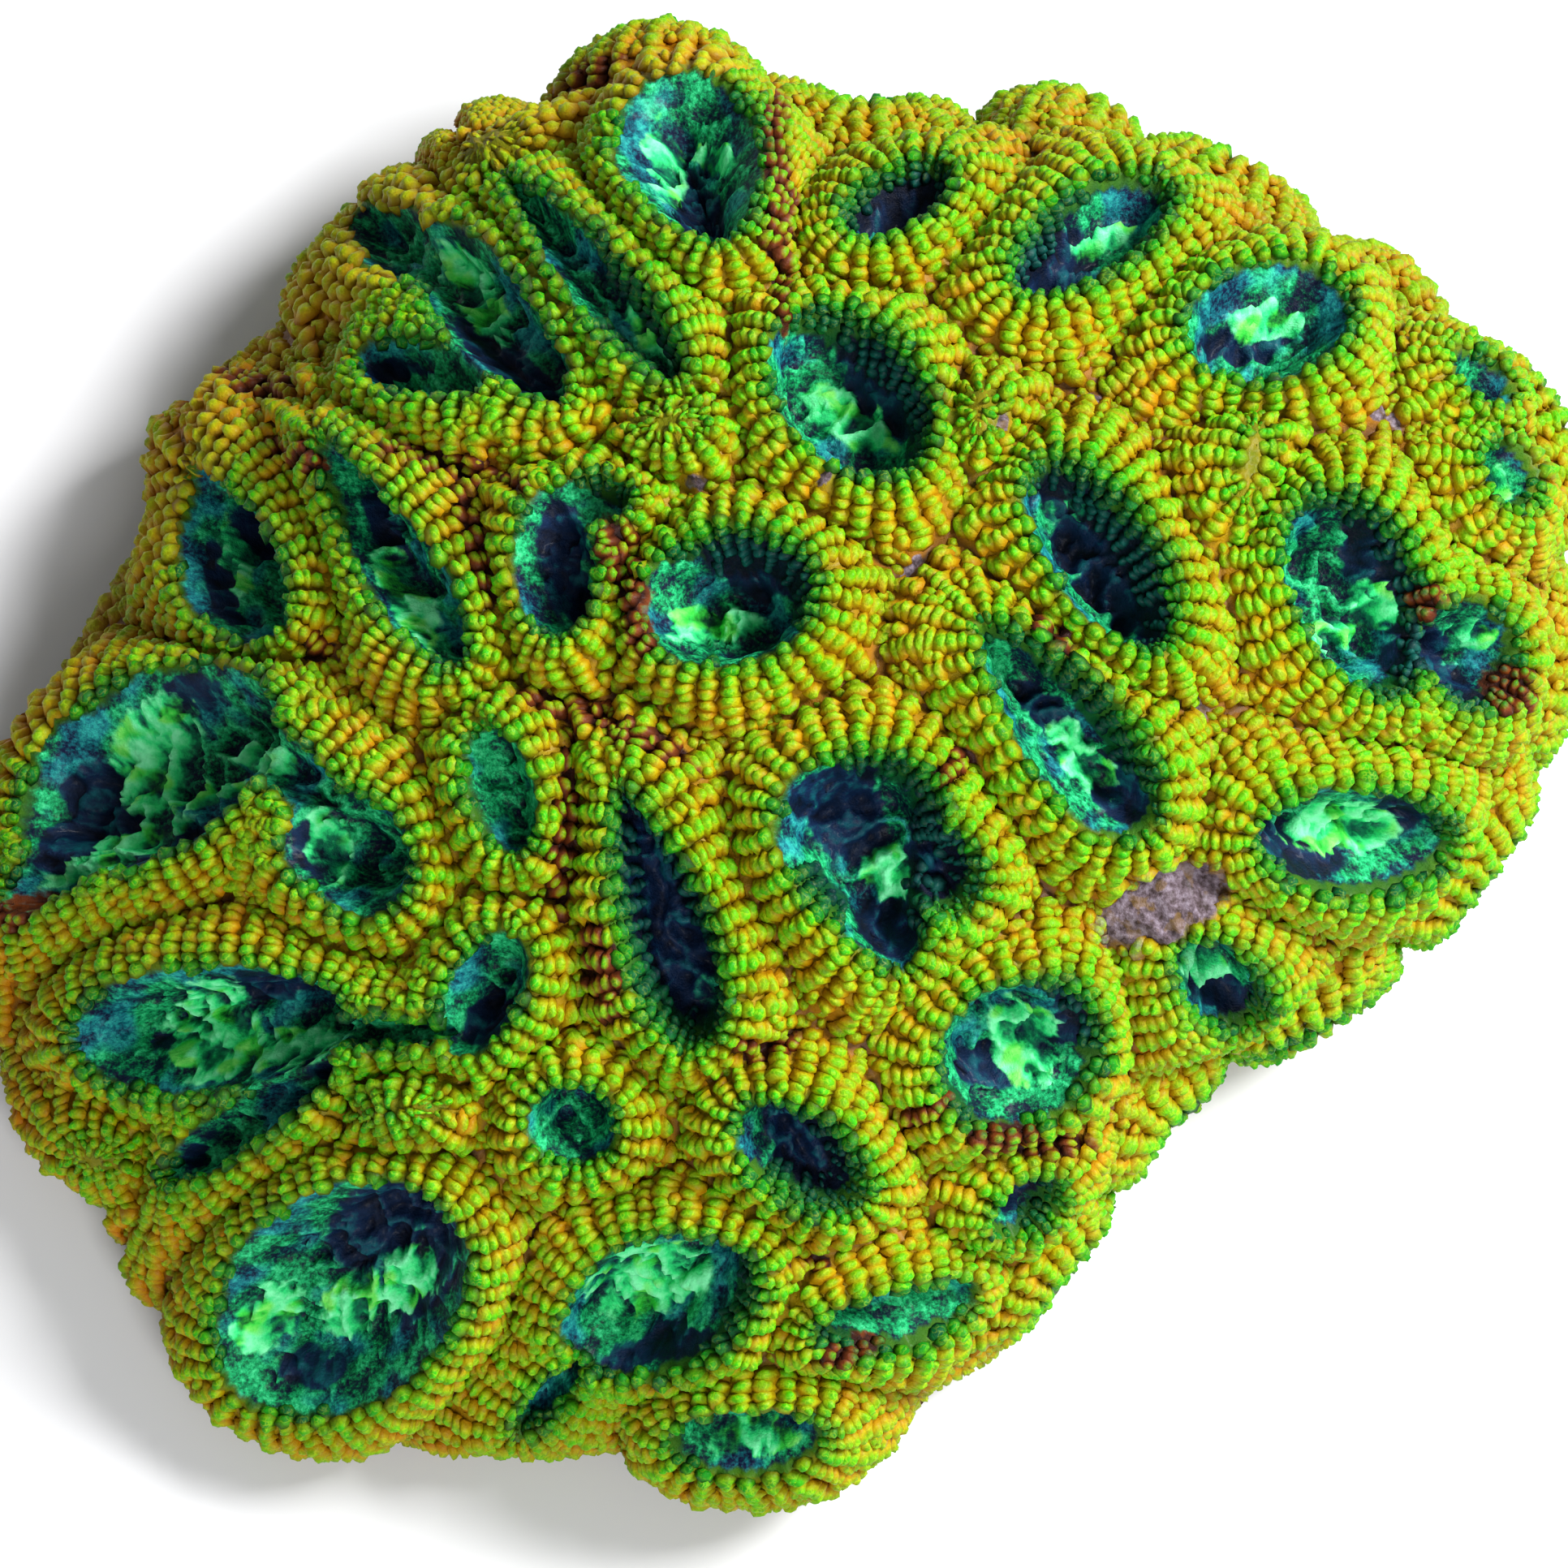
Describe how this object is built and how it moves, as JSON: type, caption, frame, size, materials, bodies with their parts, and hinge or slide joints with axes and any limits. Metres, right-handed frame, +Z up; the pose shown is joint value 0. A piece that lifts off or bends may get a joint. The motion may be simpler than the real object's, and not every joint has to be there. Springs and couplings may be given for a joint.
{
  "type": "brain coral",
  "caption": "Brain coral: a domed colony of deep oval cups, each ringed by a thick wall of beaded ridges, cut off flat at its foot.",
  "frame": {"origin": "middle of the colony's box, on the flat cut that it rests on", "axes": "+X along its longest side, -Y towards the side that the picture was taken from, +Z up out of the cups"},
  "size_m": [0.0694, 0.0646, 0.0267],
  "materials": {
    "coral": "moist living skin over stony skeleton, yellow-green walls and blue-green cups"
  },
  "bodies": {
    "root": {"brain_coral": "coral"}
  },
  "joints": []
}
